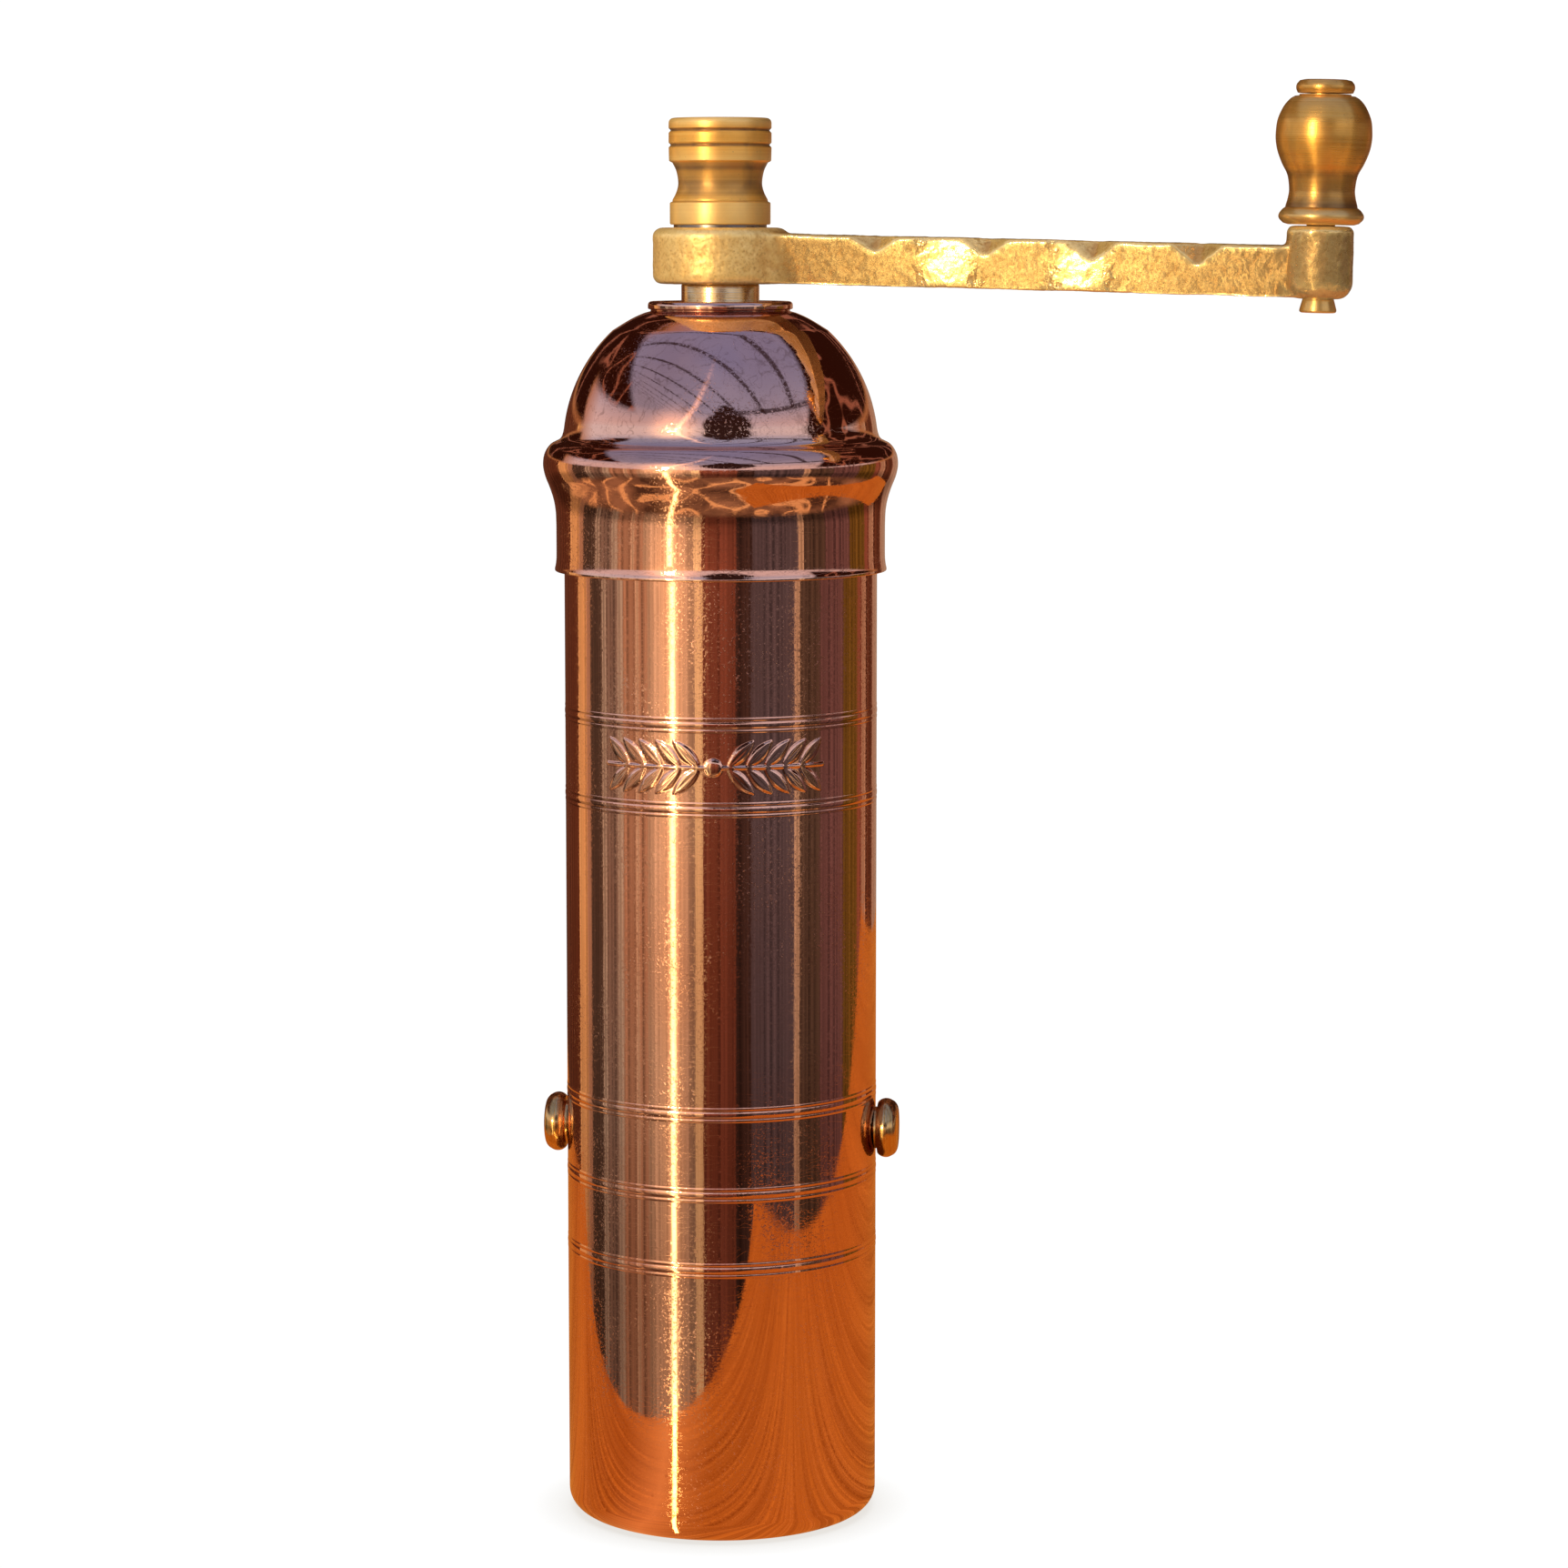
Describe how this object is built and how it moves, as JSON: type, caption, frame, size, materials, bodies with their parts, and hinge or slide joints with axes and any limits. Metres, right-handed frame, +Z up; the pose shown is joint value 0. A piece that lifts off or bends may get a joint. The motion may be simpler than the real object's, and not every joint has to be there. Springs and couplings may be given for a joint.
{
  "type": "hand pepper mill",
  "caption": "Hand mill with a tall copper tube, domed lift-off cap and a brass side crank that grinds peppercorns or coffee between adjustable burrs.",
  "frame": {"origin": "centre of the base rim, on the tube's axis", "axes": "+Z up along the tube and the drive shaft, +X from the shaft to the crank's knob at rest"},
  "size_m": [0.1222, 0.0522, 0.2115],
  "materials": {
    "copper_tube": "polished copper with fine lengthwise scuffs",
    "copper_cap": "mirror-polished copper",
    "cast_brass": "rough sand-cast brass, brushed bright on the faces",
    "turned_brass": "satin lathe-turned brass, darker in the waists",
    "brass_spindle": "turned brass",
    "brass_screw": "polished brass",
    "pale_brass": "bright polished pale brass",
    "brass_bush": "machined brass",
    "brass_adjuster": "knurled brass",
    "cast_frame": "rough casting",
    "burr_steel": "hardened dark steel",
    "bridge_steel": "zinc-plated steel",
    "shaft_steel": "ground steel",
    "bright_steel": "bright steel"
  },
  "bodies": {
    "housing": {"body_tube": "copper_tube", "burr_frame": "cast_frame", "outer_burr": "burr_steel", "side_screws": "brass_screw", "lower_bridge": "bridge_steel", "bridge_screws": "bright_steel", "adjuster_spring": "bright_steel"},
    "thrust": {"thrust_ball": "bright_steel"},
    "adjuster": {"adjusting_screw": "brass_adjuster"},
    "shaft": {"drive_shaft": "shaft_steel", "inner_burr": "burr_steel", "burr_pin": "bright_steel", "shaft_collar": "pale_brass"},
    "cap": {"dome_cap": "copper_cap", "cap_bush": "brass_bush"},
    "crank": {"crank_arm": "cast_brass", "knob_spindle": "brass_spindle"},
    "knob": {"crank_knob": "turned_brass"},
    "washer": {"finial_washer": "bright_steel"},
    "finial": {"finial": "turned_brass"}
  },
  "joints": [
    {"name": "burr_gap", "type": "slide", "parent": "housing", "child": "thrust", "axis": [0, 0, 1], "range_m": [-0.0012, 0.0004], "deforming": ["adjuster_spring"]},
    {"name": "grind_adjust", "type": "hinge", "parent": "thrust", "child": "adjuster", "pos_m": [0, 0, 0.021], "axis": [0, 0, 1], "range_deg": [-540, 180]},
    {"name": "crank_turn", "type": "hinge", "parent": "thrust", "child": "shaft", "pos_m": [0, 0, 0.1], "axis": [0, 0, 1], "continuous": true},
    {"name": "cap_lift", "type": "slide", "parent": "housing", "child": "cap", "axis": [0, 0, 1], "range_m": [0, 0.062]},
    {"name": "crank_lift", "type": "slide", "parent": "shaft", "child": "crank", "axis": [0, 0, 1], "range_m": [0, 0.0713]},
    {"name": "knob_spin", "type": "hinge", "parent": "crank", "child": "knob", "pos_m": [0.08872, 0, 0.19122], "axis": [0.0218, 0, 0.9998], "continuous": true},
    {"name": "finial_unscrew", "type": "hinge", "parent": "crank", "child": "washer", "pos_m": [0, 0, 0.191], "axis": [0, 0, 1], "range_deg": [0, 3240]},
    {"name": "finial_rise", "type": "slide", "parent": "washer", "child": "finial", "axis": [0, 0, 1], "range_m": [0, 0.009]}
  ],
  "couplings": [
    {"joint": "grind_adjust", "follows": "burr_gap", "rad_per_m": 7854},
    {"joint": "crank_lift", "follows": "cap_lift", "ratio": 1.15},
    {"joint": "finial_unscrew", "follows": "finial_rise", "rad_per_m": 6283.2}
  ]
}
